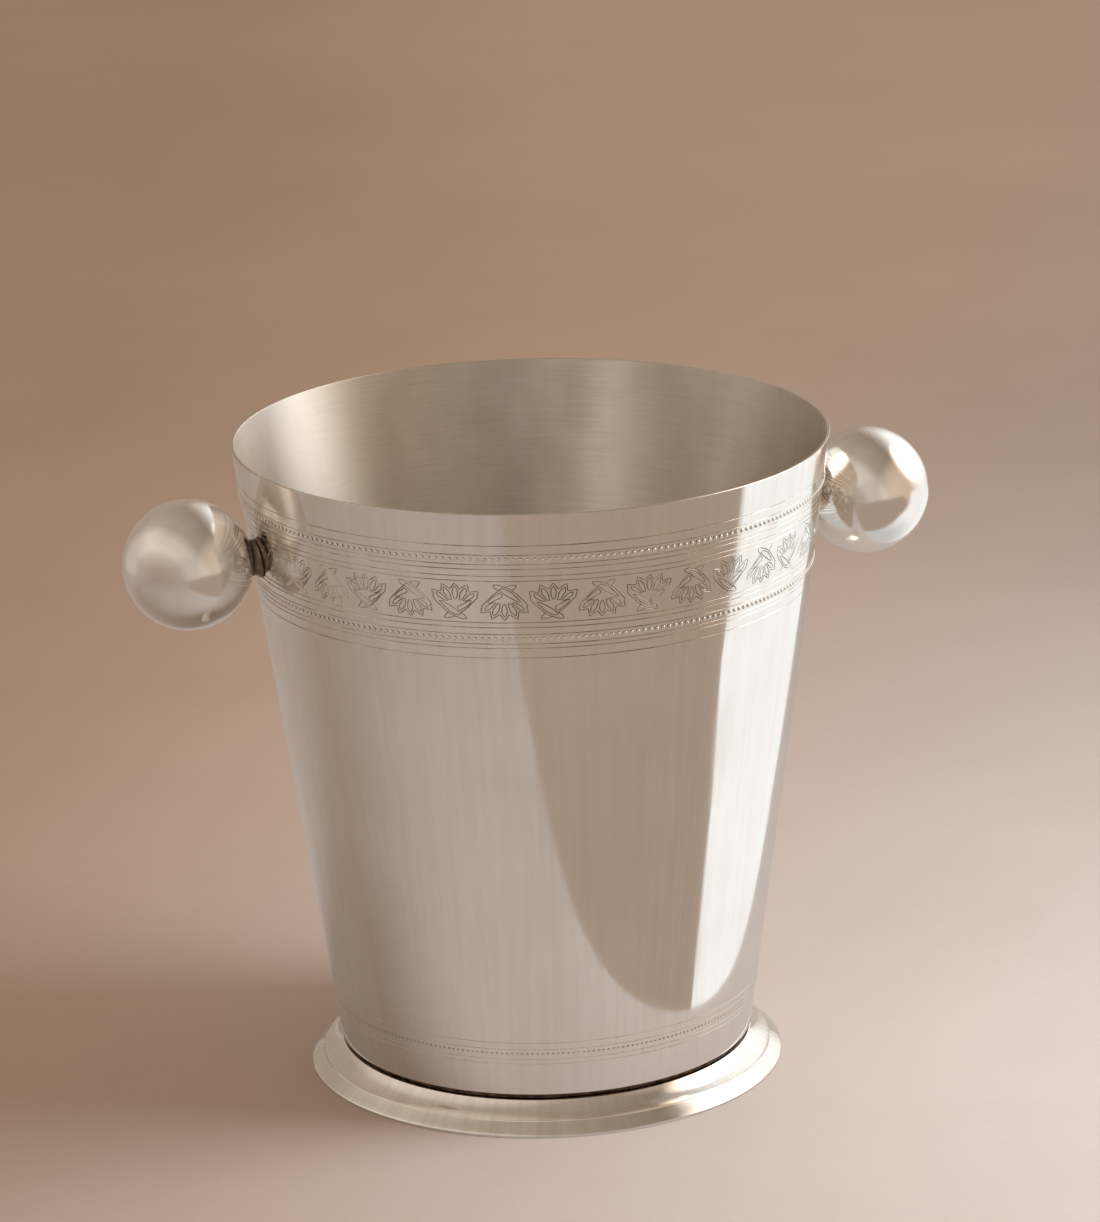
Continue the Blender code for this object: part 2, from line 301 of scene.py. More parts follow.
def satin_silver(name, base, shade, rough):
    """Silver plate inside, brushed round on the lathe: soft upright bands of light, with fine
    level scratches that catch it."""
    material, tree, shader = new_finish(name)
    # Scratches about 0.7 mm apart, drawn coarser than the real 0.05 mm ones so that they show.
    scratch = add(tree, "ShaderNodeTexNoise", {"Scale": 1.0, "Detail": 5.0, "Roughness": 0.65},
                  {"Vector": round_the_axis(tree, 5.0, 1600.0)}).outputs["Fac"]
    clouds = add(tree, "ShaderNodeTexNoise", {"Scale": 1.0, "Detail": 3.0, "Roughness": 0.5},
                 {"Vector": round_the_axis(tree, 6.0, 25.0)}).outputs["Fac"]
    mixed = add(tree, "ShaderNodeMath", {"operation": "MULTIPLY_ADD", 1: 0.5},
                {0: scratch, 2: ramp(tree, clouds, 0.0, 1.0, 0.0, 0.5)}).outputs[0]
    colour = add(tree, "ShaderNodeMix", {"data_type": "RGBA", 6: hue(shade), 7: hue(base)},
                 {0: ramp(tree, mixed, 0.35, 0.62, 0.0, 1.0)})
    tree.links.new(colour.outputs[2], shader.inputs["Base Color"])
    tree.links.new(ramp(tree, mixed, 0.38, 0.62, rough + 0.06, rough - 0.04),
                   shader.inputs["Roughness"])
    lines = add(tree, "ShaderNodeBump", {"Strength": 0.5, "Distance": 0.05 * MM}, {"Height": scratch})
    tree.links.new(lines.outputs[0], shader.inputs["Normal"])
    tangent = add(tree, "ShaderNodeTangent", {"direction_type": "RADIAL", "axis": "Z"})
    tree.links.new(tangent.outputs[0], shader.inputs["Tangent"])
    shader.inputs["Metallic"].default_value = 1.0
    shader.inputs["Anisotropic"].default_value = 0.92
    shader.inputs["Anisotropic Rotation"].default_value = 0.25
    return material


def dull_metal(name, base, shade, rough, grain):
    """Metal left dull, as in an engraved line, a cut edge, solder or bare brass: broken colour
    and a broken gloss, in grains of the size given."""
    material, tree, shader = new_finish(name)
    place = add(tree, "ShaderNodeTexCoord").outputs["Object"]
    patches = add(tree, "ShaderNodeTexNoise", {"Scale": 1.0 / grain, "Detail": 4.0, "Roughness": 0.6},
                  {"Vector": place}).outputs["Fac"]
    colour = add(tree, "ShaderNodeMix", {"data_type": "RGBA", 6: hue(shade), 7: hue(base)},
                 {0: ramp(tree, patches, 0.35, 0.65, 0.0, 1.0)})
    tree.links.new(colour.outputs[2], shader.inputs["Base Color"])
    tree.links.new(ramp(tree, patches, 0.3, 0.7, rough + 0.1, rough - 0.08),
                   shader.inputs["Roughness"])
    relief = add(tree, "ShaderNodeBump", {"Strength": 0.4, "Distance": 0.1 * MM}, {"Height": patches})
    tree.links.new(relief.outputs[0], shader.inputs["Normal"])
    shader.inputs["Metallic"].default_value = 1.0
    return material


# Silver is the palest metal, and the plate here has aged a little warm.
BODY_SILVER = bright_silver("polished_silver_plate_body", "F4F1EC", "ECE7E0", 0.07, 0.06, 0.10 * MM)
FOOT_SILVER = bright_silver("polished_silver_plate_foot", "F2EEE8", "E5DFD6", 0.06, 0.06, 0.03 * MM)
BALL_SILVER = bright_silver("polished_silver_plate_ball", "F5F2ED", "EDE8E1", 0.12, 0.05, 0.02 * MM)
SCREW_SILVER = bright_silver("polished_silver_plate_screw", "D9CFC2", "B9AD9E", 0.16, 0.10, 0.02 * MM)
# The tops of the beads are rubbed a little dull.
BEAD_SILVER = bright_silver("rubbed_silver_plate_beads", "F2EEE8", "E6E0D8", 0.14, 0.06, 0.02 * MM)
# The necks behind the balls are given a dark brown colour as painted shade, for the dark crevice between
# ball and body.
NECK_SILVER_PAINTED_SHADE = bright_silver("neck_silver_plate_painted_shade", "8C7D6D", "54483C", 0.22, 0.12, 0.02 * MM)
# Brushing inside leaves the plate satin: light spreads along the turn and keeps its bands.
INSIDE_SILVER = satin_silver("brushed_silver_plate_inside", "EAE3DA", "DCD4C9", 0.40)
# Polish and tarnish stay in the bottom of an engraved line and turn it dark.
LINE_TARNISH = dull_metal("tarnish_in_the_engraving", "CFC5B9", "90867A", 0.30, 14.0 * MM)
# The lowest lines are shallow and rubbed almost bright.
WORN_LINE = dull_metal("rubbed_line_silver_plate", "E6DFD5", "CFC6BA", 0.22, 12.0 * MM)
# The plate is worn through to the copper alloy on the lower edge.
EDGE_WEAR = dull_metal("plate_worn_to_copper", "B98E6A", "8A6A50", 0.38, 3.0 * MM)
# The cut rim is filed and rubbed smooth, but duller than the wall.
RIM_EDGE = bright_silver("cut_rim_silver_plate", "DDD5CB", "C9C0B4", 0.26, 0.06, 0.01 * MM)
# Tin solder in the gap over the foot: a dull solder tone darkened to nearly black as painted shade for the
# shadow in that gap.
SOLDER_PAINTED_SHADE = dull_metal("tin_solder_with_painted_shade", "6A5A4B", "33291F", 0.50, 3.0 * MM)
# The bosses inside the balls are brass, left bare as it comes off the lathe.
BRASS = dull_metal("bare_turned_brass", "CDAA6B", "A98A52", 0.32, 2.5 * MM)


# ---- engraved frieze ------------------------------------------------------------------------
# One palmette, standing, drawn in millimetres from its middle: the fan's outline and the petals
# on its left, and the two crossed leaves under it. The right-hand petals mirror the left.
FAN_LEFT = ((-7.9, 2.2), (-8.3, 3.0), (-8.4, 4.2), (-7.4, 4.0), (-6.2, 3.8), (-5.25, 3.65), (-4.95, 4.3),
            (-4.85, 5.4), (-4.7, 6.6), (-3.7, 6.05), (-2.6, 5.35), (-1.85, 4.75), (-1.25, 5.3),
            (-0.7, 6.2), (0.0, 7.0))
PETAL_MIDDLE = ((0.0, 5.85), (-0.7, 4.8), (-1.0, 3.8), (-0.85, 2.4), (-0.35, 0.9),
                (0.35, 0.9), (0.85, 2.4), (1.0, 3.8), (0.7, 4.8))
PETALS_LEFT = (
    ((-1.4, 0.45), (-1.6, 1.65), (-1.8, 2.65), (-2.2, 3.7), (-3.1, 4.65), (-4.1, 5.35),
     (-4.25, 4.05), (-4.05, 3.0), (-3.3, 2.0), (-2.45, 0.6)),
    ((-2.8, 0.15), (-3.5, 1.05), (-4.2, 1.7), (-5.15, 2.75), (-6.4, 3.15), (-7.05, 3.05),
     (-6.4, 1.7), (-5.3, 0.95), (-4.05, 0.25)),
)
LEAF_FRONT = (
    ((-7.9, 2.3), (-8.3, 1.5), (-7.8, 0.5), (-6.9, -0.6), (-5.95, -1.55), (-4.95, -2.6), (-4.05, -3.45),
     (-3.1, -4.3), (-1.8, -5.2), (-0.25, -5.95), (0.9, -6.3), (2.0, -6.7), (3.6, -6.7), (3.5, -6.0),
     (2.95, -5.25), (2.2, -4.7), (1.8, -4.4)),
    ((-6.1, 0.0), (-4.65, -0.25), (-2.9, -1.3), (-1.8, -2.0), (-0.8, -2.65), (-0.15, -3.1),
     (0.75, -3.95), (1.5, -4.85), (0.75, -5.4), (-0.25, -5.1), (-1.5, -4.5), (-2.75, -3.7),
     (-3.85, -2.5), (-4.95, -1.3)),
)
LEAF_BACK = (
    ((7.9, 2.3), (8.0, 1.6), (7.1, 0.6), (6.0, -0.5), (5.0, -1.55), (3.9, -2.65), (2.6, -3.7),
     (1.75, -4.45), (1.45, -4.9)),
    ((0.75, -1.9), (2.0, -1.3), (2.95, -0.85), (3.9, -0.25), (5.0, 0.45), (5.9, 0.3), (4.7, -1.3),
     (3.6, -2.15), (2.3, -3.0), (1.5, -3.8), (0.6, -2.65)),
    ((-3.1, -4.3), (-3.4, -4.75), (-4.25, -5.8), (-4.5, -6.65), (-3.1, -6.6), (-2.0, -6.4),
     (-0.75, -5.95)),
)
# Which of those close on themselves.
CLOSED_STROKES = (PETAL_MIDDLE, *PETALS_LEFT, LEAF_FRONT[1], LEAF_BACK[1])


def mirrored(stroke):
    return tuple((-across, up) for across, up in stroke)


def palmette_strokes():
    """(points, closed) for every stroke of one standing palmette."""
    strokes = [FAN_LEFT + mirrored(FAN_LEFT)[-2::-1], PETAL_MIDDLE, *LEAF_FRONT, *LEAF_BACK]
    for stroke in PETALS_LEFT:
        strokes.append(stroke)
        strokes.append(mirrored(stroke))
    closed = set(CLOSED_STROKES) | {mirrored(stroke) for stroke in PETALS_LEFT}
    return [(stroke, stroke in closed) for stroke in strokes]


def graver_cut(name, stroke, closed, turned_over, shift):
    """The diamond-section bar that cuts one stroke: its lower corner makes the V of the groove."""
    curve = bpy.data.curves.new(name, "CURVE")
    curve.dimensions = "3D"
    curve.twist_mode = "Z_UP"
    curve.bevel_depth = 0.5 * LINE_WIDTH / MM
    curve.bevel_resolution = 0
    curve.use_fill_caps = True
    spline = curve.splines.new("POLY")
    spline.points.add(len(stroke) - 1)
    spline.use_cyclic_u = closed
    facing = -1.0 if turned_over else 1.0
    for point, (across, up) in zip(spline.points, stroke):
        point.co = (facing * across + shift, facing * up, 0.0, 1.0)
    bar = bpy.data.objects.new(name, curve)
    bpy.context.scene.collection.objects.link(bar)
    select_only(bar)
    bpy.ops.object.convert(target="MESH")
    return bpy.context.object


def make_frieze_tile():
    """One pair of palmettes, the first upside down, engraved in a flat slab drawn at 1 unit to
    1 mm. The slab has the body's own columns, so that it closes with the wall above and below."""
    middle = 0.5 * (FRIEZE_LOW + FRIEZE_HIGH)
    width = wall_outside(middle) * math.tau / PAIRS / MM
    tall = (FRIEZE_HIGH - FRIEZE_LOW) * SLANT / MM
    nothing_selected()
    bpy.ops.mesh.primitive_grid_add(x_subdivisions=COLUMNS_PER_PAIR, y_subdivisions=1, size=1.0,
                                    location=(0.0, 0.0, 0.0))
    tile = bpy.context.object
    tile.scale = (width, tall, 1.0)
    settle(tile)
    open_mesh(tile)
    bpy.ops.mesh.select_all(action="SELECT")
    bpy.ops.mesh.extrude_region_move(TRANSFORM_OT_translate={"value": (0.0, 0.0, -1.0)})
    bpy.ops.mesh.select_all(action="SELECT")
    bpy.ops.mesh.normals_make_consistent(inside=False)
    close_mesh()
    shift = 0.25 * width
    bars = []
    for turned_over, place in ((True, -shift), (False, shift)):
        for stroke, closed in palmette_strokes():
            bars.append(graver_cut("graver", stroke, closed, turned_over, place))
    graver = joined("graver", *bars)
    apply(tile, "BOOLEAN", operation="DIFFERENCE", solver="EXACT", use_self=True, object=graver)
    bpy.data.objects.remove(graver, do_unlink=True)
    open_mesh(tile)
    # Only the engraved top of the slab is kept.
    pick("FACE", lambda f: f.calc_center_median().z < -0.45)
    bpy.ops.mesh.delete(type="FACE")
    close_mesh()
    tile.data.materials.append(BODY_SILVER)
    tile.data.materials.append(LINE_TARNISH)
    set_faces(tile, 1, lambda f: f.center.z < -0.01)
    return tile, width


def wrap_on_wall(tile, width):
    """Bends the flat tile round the cone: across turns round the axis, up climbs the wall."""
    middle = 0.5 * (FRIEZE_LOW + FRIEZE_HIGH)
    for vertex in tile.data.vertices:
        across, up, out = vertex.co
        turn = FIRST_PAIR + (across / width + 0.5) * math.tau / PAIRS
        height = middle + up * MM / SLANT
        radius = wall_outside(height) + out * MM / SLANT
        height -= out * MM * TAPER / SLANT
        vertex.co = (radius * math.sin(turn), -radius * math.cos(turn), height)


def copy_round(piece, count):
    """Copies what is on a mesh round the axis until there are `count` of it."""
    open_mesh(piece)
    bpy.ops.mesh.select_all(action="SELECT")
    bpy.ops.mesh.spin(steps=count - 1, angle=math.tau * (count - 1) / count, dupli=True,
                      center=(0.0, 0.0, 0.0), axis=(0.0, 0.0, 1.0))
    close_mesh()


def bead_row(name, height, radius, proud):
    """A row of round punched beads, each a low dome of a few faces that stands on the wall."""
    nothing_selected()
    bpy.ops.mesh.primitive_uv_sphere_add(segments=10, ring_count=6, radius=radius,
                                         location=(0.0, 0.0, 0.0))
    row = bpy.context.object
    row.name = name
    open_mesh(row)
    bpy.ops.mesh.select_all(action="SELECT")
    bpy.ops.mesh.bisect(plane_co=(0.0, 0.0, -0.1 * radius), plane_no=(0.0, 0.0, 1.0),
                        clear_inner=True, use_fill=True)
    bpy.ops.mesh.select_all(action="SELECT")
    bpy.ops.transform.resize(value=(1.0, 1.0, proud / radius))
    close_mesh()
    row.rotation_euler = (math.pi / 2 + math.atan(TAPER), 0.0, 0.0)
    row.location = (0.0, -wall_outside(height), height)
    settle(row)
    open_mesh(row)
    bpy.ops.mesh.select_all(action="SELECT")
    bpy.ops.transform.rotate(value=-FIRST_PAIR, orient_axis="Z", center_override=(0.0, 0.0, 0.0))
    close_mesh()
    copy_round(row, BEADS)
    return row


# ---- body -----------------------------------------------------------------------------------
def groove(height, width, depth):
    """Three points of outline for one V line cut square to the wall."""
    half = 0.5 * width / SLANT
    low = height - half
    high = height + half
    bottom = height + depth * TAPER / SLANT
    return [
        (wall_outside(low), low),
        (wall_outside(bottom, depth), bottom),
        (wall_outside(high), high),
    ]


def make_body():
    """The body's wall: its outline with every engraved line spun in one, then the frieze."""
    edge = 0.2 * MM
    worn_edge = 0.3 * MM
    outline = [
        (wall_outside(BASE_HEIGHT, worn_edge), BASE_HEIGHT),
        (wall_outside(BASE_HEIGHT + worn_edge), BASE_HEIGHT + worn_edge),
    ]
    for height in LOWER_LINES:
        outline += groove(height * MM, WORN_WIDTH, WORN_DEPTH)
    halfway = 110 * MM
    outline.append((wall_outside(halfway), halfway))
    for height in UPPER_LINES:
        outline += groove(height * MM, LINE_WIDTH, LINE_DEPTH)
        if height == LINE_UNDER_FRIEZE:
            for edge_of_frieze in (FRIEZE_LOW, FRIEZE_HIGH):
                outline.append((wall_outside(edge_of_frieze), edge_of_frieze))
    outline += [
        (wall_outside(RIM_HEIGHT - edge), RIM_HEIGHT - edge),
        (wall_outside(RIM_HEIGHT, edge), RIM_HEIGHT),
        (wall_outside(RIM_HEIGHT, WALL - edge), RIM_HEIGHT),
        (wall_outside(RIM_HEIGHT - edge, WALL), RIM_HEIGHT - edge),
        (wall_outside(BASE_HEIGHT, WALL), BASE_HEIGHT),
    ]
    body = spun("bucket_body", outline, COLUMNS, FIRST_PAIR)
    open_mesh(body)
    pick("FACE", lambda f: FRIEZE_LOW < f.calc_center_median().z < FRIEZE_HIGH
         and math.hypot(*f.calc_center_median().xy) > wall_outside(f.calc_center_median().z, 0.5 * WALL))
    bpy.ops.mesh.delete(type="FACE")
    close_mesh()
    for finish in (BODY_SILVER, LINE_TARNISH, INSIDE_SILVER, RIM_EDGE, EDGE_WEAR, WORN_LINE):
        body.data.materials.append(finish)

    def inwards(face):
        """How far a face's middle lies in from the outside of the wall."""
        middle = face.center
        flat_side = wall_outside(middle.z) * math.cos(math.pi / COLUMNS)
        return (flat_side - math.hypot(middle.x, middle.y)) / SLANT

    tarnish, inside, rim, worn, worn_line = range(1, 6)
    set_faces(body, tarnish, lambda f: inwards(f) > 0.02 * MM)
    set_faces(body, worn_line, lambda f: inwards(f) > 0.01 * MM and f.center.z < 40 * MM)
    set_faces(body, inside, lambda f: inwards(f) > 0.8 * WALL)
    set_faces(body, rim, lambda f: f.center.z > RIM_HEIGHT - 0.4 * MM)
    set_faces(body, worn, lambda f: f.center.z < BASE_HEIGHT + 0.35 * MM)
    tile, width = make_frieze_tile()
    wrap_on_wall(tile, width)
    copy_round(tile, PAIRS)
    body = joined("bucket_body", body, tile)
    open_mesh(body)
    bpy.ops.mesh.select_all(action="SELECT")
    bpy.ops.mesh.remove_doubles(threshold=0.002 * MM)
    bpy.ops.mesh.normals_make_consistent(inside=False)
    close_mesh()
    rows = [
        bead_row("beads_top", 225.4 * MM, BEAD_RADIUS, BEAD_PROUD),
        bead_row("beads_under_frieze", 195.0 * MM, BEAD_RADIUS, BEAD_PROUD),
        bead_row("beads_low", 29.1 * MM, WORN_BEAD_RADIUS, WORN_BEAD_PROUD),
    ]
    smooth(body, 9.0)
    for row in rows:
        row.data.materials.append(BEAD_SILVER)
        smooth(row, 60.0)
    body = joined("bucket_body", body, *rows)
    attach(body, "root")
    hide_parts("body_wall")


def make_floor_disc():
    """The flat floor, its edge raised a little by the solder that holds it to the wall."""
    top = BASE_HEIGHT + 1.4 * MM
    outside = wall_outside(BASE_HEIGHT, WALL + CLEARANCE)
    fillet = 1.0 * MM
    solder = top + 0.12 * MM
    outline = [(0.0, top), (0.3 * outside, top), (0.6 * outside, top), (outside - fillet, top)]
    outline += [
        (outside - 0.4 * fillet, solder),
        (outside, solder),
        (outside, BASE_HEIGHT),
        (0.0, BASE_HEIGHT),
    ]
    disc = spun("bucket_floor", outline, 152, closed=False)
    disc.data.materials.append(INSIDE_SILVER)
    smooth(disc)
    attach(disc, "root")
    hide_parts("body_floor")


# ---- foot -----------------------------------------------------------------------------------
def make_foot():
    """The spun foot: shelf, round shoulder, shallow cove, fine ridge, and sloping flange."""
    top = 10.4 * MM
    under = 9.2 * MM
    hole = 69.0 * MM
    rounding = 0.6 * MM
    cove = 0.6 * MM
    middle = (BASE_RADIUS - rounding, top - rounding)
    start = arc(middle, rounding, 90.0, 30.0, 5)
    ridge = (84.0 * MM, 5.0 * MM)
    outline = [(hole, top)] + start
    run = Vector(ridge) - Vector(start[-1])
    across = Vector((run.y, -run.x)).normalized()
    for step in range(1, 15):
        part = step / 14
        point = Vector(start[-1]) + run * part + across * cove * 4.0 * part * (1.0 - part)
        outline.append((point.x, point.y))
    outline += [
        (84.28 * MM, 4.95 * MM),
        (84.42 * MM, 4.66 * MM),
        (84.55 * MM, 4.62 * MM),
        (84.80 * MM, 4.40 * MM),
        (86.0 * MM, 3.42 * MM),
        (87.4 * MM, 2.32 * MM),
        (88.5 * MM, 1.46 * MM),
        (88.82 * MM, 1.16 * MM),
        (89.0 * MM, 0.9 * MM),
        (89.0 * MM, 0.15 * MM),
        (88.85 * MM, 0.0),
        (86.8 * MM, 0.0),
        (82.8 * MM, 3.3 * MM),
        (76.3 * MM, under),
        (hole, under),
    ]
    foot = spun("foot", outline, 288)
    foot.data.materials.append(FOOT_SILVER)
    smooth(foot, 24.0)
    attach(foot, "root")
    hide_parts("foot_ring")


def make_seat():
    """The solder ring in the gap between foot and body, run in by hand and not quite even."""
    low = 10.7 * MM
    high = 12.0 * MM
    hole = 70.7 * MM
    outline = [
        (76.3 * MM, low),
        (76.6 * MM, 0.5 * (low + high)),
        (76.3 * MM, high),
        (hole, high),
        (hole, low),
    ]
    seat = spun("seat_solder", outline, 180)
    for vertex in seat.data.vertices:
        radius = math.hypot(vertex.co.x, vertex.co.y)
        if radius > hole + 4.0 * MM:
            turn = math.atan2(vertex.co.y, vertex.co.x)
            swell = 0.25 * math.sin(5 * turn) + 0.2 * math.sin(13 * turn + 1.0) + 0.1 * math.sin(29 * turn)
            vertex.co.xy *= 1.0 + (swell - 0.35) * MM / radius
    # Nearly black: the solder's tone darkened as painted shade for the gap over the foot.
    seat.data.materials.append(SOLDER_PAINTED_SHADE)
    smooth(seat, 50.0)
    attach(seat, "root")
    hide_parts("foot_seat_ring")


# ---- handles --------------------------------------------------------------------------------
def make_ball_half(side, end, outer):
    """One spun half of a ball: a sphere cut at its seam, given its sheet's thickness inwards, and
    on the bucket's side pierced for the screw."""
    name = ("ball_outer_" if outer else "ball_inner_") + end
    centre = (side * BALL_X, 0.0, BALL_Z)
    nothing_selected()
    bpy.ops.mesh.primitive_uv_sphere_add(segments=96, ring_count=64, radius=BALL_RADIUS, location=centre,
                                         rotation=(0.0, side * math.pi / 2, 0.0))
    half = bpy.context.object
    half.name = name
    settle(half)
    facing = side if outer else -side
    open_mesh(half)
    bpy.ops.mesh.select_all(action="SELECT")
    seam = (centre[0] + facing * HALF_SEAM, 0.0, BALL_Z)
    bpy.ops.mesh.bisect(plane_co=seam, plane_no=(facing, 0.0, 0.0), clear_inner=True)
    if not outer:
        pick("VERT", lambda v: math.hypot(v.co.y, v.co.z - BALL_Z) < BALL_HOLE)
        bpy.ops.mesh.delete(type="VERT")
    close_mesh()
    apply(half, "SOLIDIFY", thickness=BALL_SHEET, offset=-1.0)
    half.data.materials.append(BALL_SILVER)
    smooth(half, 32.0)
    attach(half, "root")
    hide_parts(("ball_outer_half_" if outer else "ball_inner_half_") + end)


def make_collar(side, end):
    """The short waisted neck, cut to the slope of the wall and to the round of the ball."""
    low = 98.0 * MM
    high = 112.0 * MM
    nothing_selected()
    bpy.ops.mesh.primitive_cylinder_add(vertices=64, radius=COLLAR_RADIUS, depth=high - low,
                                        location=(side * 0.5 * (low + high), 0.0, BALL_Z),
                                        rotation=(0.0, side * math.pi / 2, 0.0))
    collar = bpy.context.object
    collar.name = "neck_collar_" + end
    settle(collar)
    open_mesh(collar)
    pick("EDGE", lambda e: abs(e.verts[0].co.x - e.verts[1].co.x) > 5 * MM)
    bpy.ops.mesh.subdivide(number_cuts=27)
    close_mesh()
    for vertex in collar.data.vertices:
        from_waist = (abs(vertex.co.x) - WAIST_PLACE) / WAIST_REACH
        neck = 1.0 - WAIST_DEPTH * math.exp(-from_waist * from_waist)
        vertex.co.y *= neck
        vertex.co.z = BALL_Z + (vertex.co.z - BALL_Z) * neck
    nothing_selected()
    tall = 0.3
    bpy.ops.mesh.primitive_cone_add(vertices=COLUMNS, radius1=wall_outside(0.0, -CLEARANCE),
                                    radius2=wall_outside(tall, -CLEARANCE), depth=tall,
                                    location=(0.0, 0.0, 0.5 * tall))
    wall = bpy.context.object
    nothing_selected()
    bpy.ops.mesh.primitive_uv_sphere_add(segments=96, ring_count=64, radius=BALL_RADIUS + CLEARANCE,
                                         location=(side * BALL_X, 0.0, BALL_Z),
                                         rotation=(0.0, side * math.pi / 2, 0.0))
    ball = bpy.context.object
    nothing_selected()
    bpy.ops.mesh.primitive_cylinder_add(vertices=48, radius=COLLAR_HOLE, depth=40 * MM,
                                        location=(side * 0.5 * (low + high), 0.0, BALL_Z),
                                        rotation=(0.0, math.pi / 2, 0.0))
    drill = bpy.context.object
    for cutter in (wall, ball, drill):
        apply(collar, "BOOLEAN", operation="DIFFERENCE", solver="EXACT", object=cutter)
        bpy.data.objects.remove(cutter, do_unlink=True)
    # Dark brown plate colour: painted shade for the crevice between ball and body.
    collar.data.materials.append(NECK_SILVER_PAINTED_SHADE)
    smooth(collar, 30.0)
    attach(collar, "root")
    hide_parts("neck_collar_" + end)


def make_handles():
    for side, end in SIDES:
        make_ball_half(side, end, True)
        make_ball_half(side, end, False)
        make_collar(side, end)


# ---- studio ---------------------------------------------------------------------------------
def make_camera():
    """A long lens from the front left, a little above the rim."""
    place = (-0.5802, -1.90217, 0.78113)
    turn = [math.radians(angle) for angle in (73.0106, 1.4589, -17.5682)]
    bpy.ops.object.camera_add(location=place, rotation=turn)
    camera = bpy.context.object
    camera.data.lens = 165.24
    camera.data.sensor_width = 36.0
    camera.data.clip_end = 50.0
    bpy.context.scene.camera = camera


def plaster(name, warm, cool, left):
    """Limewashed plaster, matt, with painted light and shade in its colour: warm towards the back left and
    cooler towards the front right where the light falls, and scaled to the left by the factor given, as
    painted shade below one and painted light above one, with soft clouds of tone and a fine trowelled
    grain."""
    material, tree, shader = new_finish(name)
    place = add(tree, "ShaderNodeTexCoord").outputs["Object"]
    clouds = add(tree, "ShaderNodeTexNoise", {"Scale": 2.2, "Detail": 6.0, "Roughness": 0.6},
                 {"Vector": place}).outputs["Fac"]
    grain = add(tree, "ShaderNodeTexNoise", {"Scale": 260.0, "Detail": 3.0, "Roughness": 0.6},
                {"Vector": place}).outputs["Fac"]
    tone = add(tree, "ShaderNodeMath", {"operation": "MULTIPLY_ADD", 1: 0.2},
               {0: grain, 2: ramp(tree, clouds, 0.0, 1.0, 0.0, 0.8)}).outputs[0]
    # Painted light: the colour runs from a warm tone at the back left to a cool one at the front right.
    painted_light_forwards = add(tree, "ShaderNodeVectorMath", {"operation": "DOT_PRODUCT", 1: (0.85, -0.53, 0.0)},
                   {0: place}).outputs["Value"]
    painted_shade_aside = add(tree, "ShaderNodeVectorMath", {"operation": "DOT_PRODUCT", 1: (0.95, -0.30, 0.0)},
                {0: place}).outputs["Value"]
    painted_light_wash = add(tree, "ShaderNodeMix", {"data_type": "RGBA", 6: hue(warm), 7: hue(cool)},
               {0: ramp(tree, painted_light_forwards, -0.32, 0.30, 0.0, 1.0)})
    # Painted shade: the colour is scaled towards the left by the factor given.
    level = add(tree, "ShaderNodeMath", {"operation": "MULTIPLY"},
                {0: ramp(tree, tone, 0.35, 0.65, 0.93, 1.04),
                 1: ramp(tree, painted_shade_aside, -0.25, 0.0, left, 1.0)}).outputs[0]
    colour = add(tree, "ShaderNodeMix", {"data_type": "RGBA", "blend_type": "MULTIPLY", 0: 1.0},
                 {6: painted_light_wash.outputs[2], 7: level})
    tree.links.new(colour.outputs[2], shader.inputs["Base Color"])
    relief = add(tree, "ShaderNodeBump", {"Strength": 0.15, "Distance": 0.4 * MM}, {"Height": grain})
    tree.links.new(relief.outputs[0], shader.inputs["Normal"])
    shader.inputs["Roughness"].default_value = 0.9
    shader.inputs["Specular IOR Level"].default_value = 0.2
    return material


def fade_away(material, near, far):
    """Lets a finish go clear between two distances from the middle, so that it has no edge."""
    tree = material.node_tree
    shader = tree.nodes["Principled BSDF"]
    place = add(tree, "ShaderNodeTexCoord").outputs["Object"]
    reach = add(tree, "ShaderNodeVectorMath", {"operation": "LENGTH"}, {0: place}).outputs["Value"]
    clear = add(tree, "ShaderNodeBsdfTransparent")
    both = add(tree, "ShaderNodeMixShader", links={
        0: ramp(tree, reach, near, far, 0.0, 1.0),
        1: shader.outputs[0],
        2: clear.outputs[0],
    })
    tree.links.new(both.outputs[0], tree.nodes["Material Output"].inputs["Surface"])


def glow(name, hex_code, strength, from_above=None):
    """A plain lit card. One that lies flat may look dimmer from above than along the ground."""
    material = bpy.data.materials.new(name)
    material.use_nodes = True
    tree = material.node_tree
    tree.nodes.clear()
    light = add(tree, "ShaderNodeEmission", {"Color": hue(hex_code), "Strength": strength})
    if from_above is not None:
        slant = add(tree, "ShaderNodeLayerWeight", {"Blend": 0.5}).outputs["Facing"]
        tree.links.new(ramp(tree, slant, 0.1, 0.4, from_above, strength), light.inputs["Strength"])
    out = add(tree, "ShaderNodeOutputMaterial")
    tree.links.new(light.outputs[0], out.inputs["Surface"])
    return material


def reflected_card(name, corners, finish):
    """A flat card that shows only in the metal, as a studio flag or bounce does off to one side."""
    piece = one_vertex(name, corners[0])
    for last, place in zip(corners, corners[1:]):
        move = Vector(place) - Vector(last)
        bpy.ops.mesh.extrude_vertices_move(TRANSFORM_OT_translate={"value": move})
    bpy.ops.mesh.select_all(action="SELECT")
    bpy.ops.mesh.edge_face_add()
    close_mesh()
    piece.data.materials.append(finish)
    piece.visible_camera = False
    piece.visible_diffuse = False
    piece.visible_shadow = False


def softbox(name, place, aim, size, power, tint):
    nothing_selected()
    bpy.ops.object.light_add(type="AREA", location=place)
    lamp = bpy.context.object
    lamp.name = name
    lamp.rotation_euler = (Vector(aim) - Vector(place)).to_track_quat("-Z", "Y").to_euler()
    lamp.data.shape = "RECTANGLE"
    lamp.data.size = size[0]
    lamp.data.size_y = size[1]
    lamp.data.energy = power
    lamp.data.color = hue(tint)[:3]
    lamp.visible_camera = False
    return lamp


